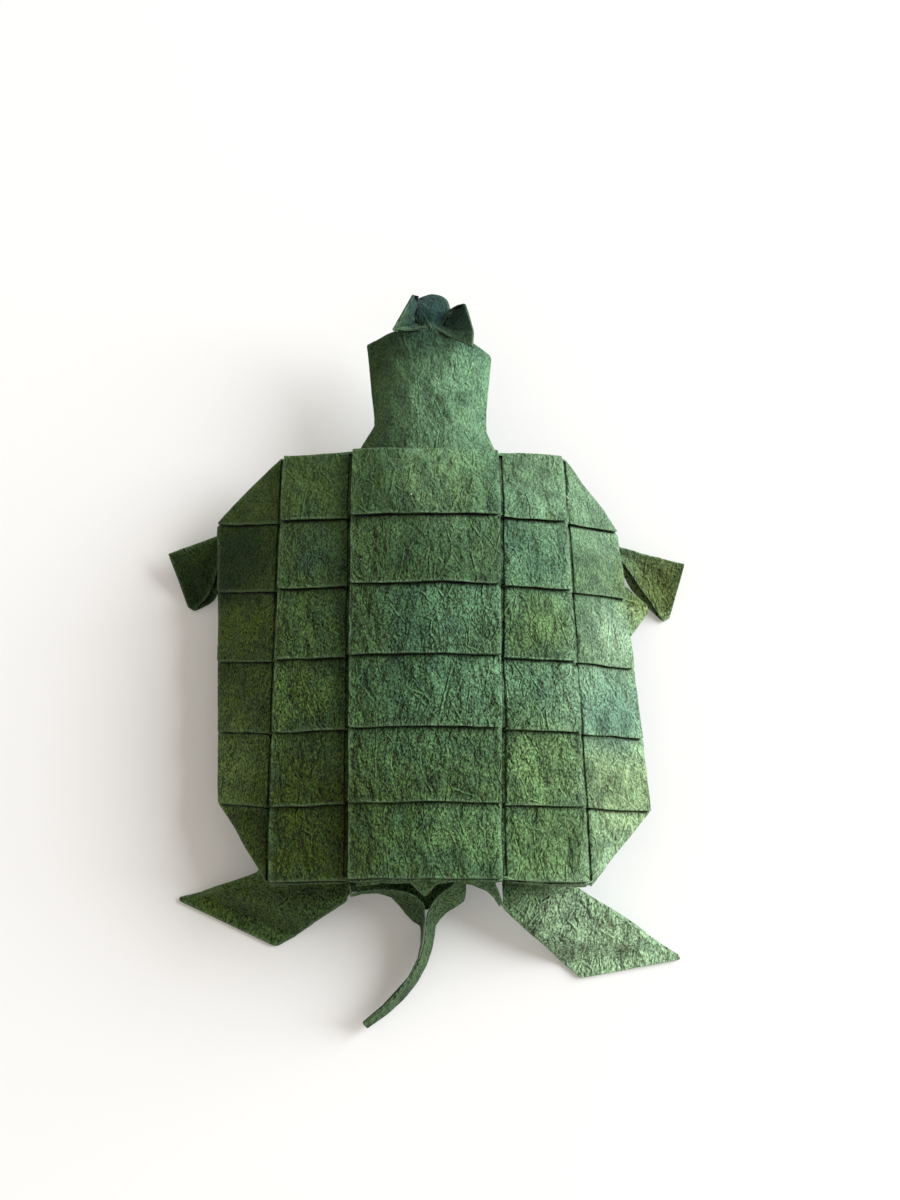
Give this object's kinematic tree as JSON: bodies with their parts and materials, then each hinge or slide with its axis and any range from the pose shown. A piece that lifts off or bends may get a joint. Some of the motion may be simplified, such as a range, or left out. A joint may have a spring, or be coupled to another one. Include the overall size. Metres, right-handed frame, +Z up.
{
  "type": "origami turtle",
  "caption": "Folded paper turtle with a domed shell of overlapping pleated tiles, an arched neck with eye flaps, flat flap legs and a curved tail; a standing desk ornament.",
  "frame": {"origin": "on the table, under the middle of the overall length and width", "axes": "+Y from tail to head, +Z up from the table, +X to the turtle's right"},
  "size_m": [0.0722, 0.1002, 0.018],
  "materials": {
    "dyed_paper": "matte, fibrous and softly crumpled"
  },
  "bodies": {
    "root": {"folded_sheet": "dyed_paper"}
  },
  "joints": []
}
